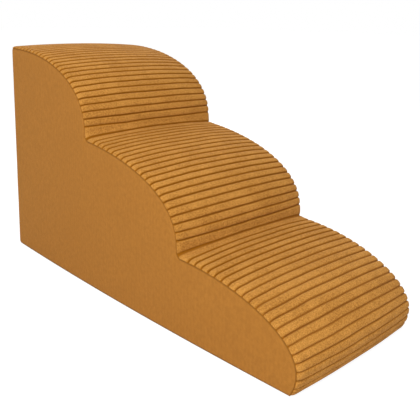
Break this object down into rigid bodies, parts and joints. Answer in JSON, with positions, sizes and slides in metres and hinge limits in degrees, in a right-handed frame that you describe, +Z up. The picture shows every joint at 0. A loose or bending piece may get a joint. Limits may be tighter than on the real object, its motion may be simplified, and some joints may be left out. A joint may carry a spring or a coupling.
{
  "type": "pet stairs",
  "caption": "Foam pet stairs with a wave-shaped ribbed plush tread, plain side panels, a zipped back and a non-slip base.",
  "frame": {"origin": "centre of the bounding box, on the floor under the grip dots", "axes": "+X from the upright back to the low toe, +Y across the stairs, +Z up"},
  "size_m": [0.835, 0.323, 0.4587],
  "materials": {
    "ribbed_plush": "matte",
    "side_cloth": "matte",
    "zip_cloth": "matte",
    "non_slip_cloth": "matte",
    "grip_dot": "satin",
    "support_foam": "matte",
    "topping_foam": "matte",
    "zip_coil": "satin",
    "zip_metal": "satin"
  },
  "bodies": {
    "stairs": {"support_foam": "support_foam", "comfort_foam": "topping_foam", "tread_panel": "ribbed_plush", "side_panel_left": "side_cloth", "side_panel_right": "side_cloth", "back_panel_left": "side_cloth", "back_panel_right": "side_cloth", "base_panel": "non_slip_cloth", "grip_dots": "grip_dot", "zip_tape_left": "zip_cloth", "zip_tape_right": "zip_cloth", "zip_coil_left": "zip_coil", "zip_coil_right": "zip_coil", "zip_lower_stops": "zip_metal", "zip_upper_stop": "zip_metal", "zip_end_tab_lower": "side_cloth", "zip_end_tab_upper": "side_cloth"},
    "zip_slider": {"zip_slider_front": "zip_metal", "zip_slider_back": "zip_metal"},
    "pull_tab": {"zip_pull_tab": "zip_metal"}
  },
  "joints": [
    {"name": "zip_slide", "type": "slide", "parent": "stairs", "child": "zip_slider", "axis": [0, 0, 1], "range_m": [0, 0.3674]},
    {"name": "pull_tab_hinge", "type": "hinge", "parent": "zip_slider", "child": "pull_tab", "pos_m": [-0.41553, 0, 0.05025], "axis": [0, 1, 0], "range_deg": [0, 180]}
  ]
}
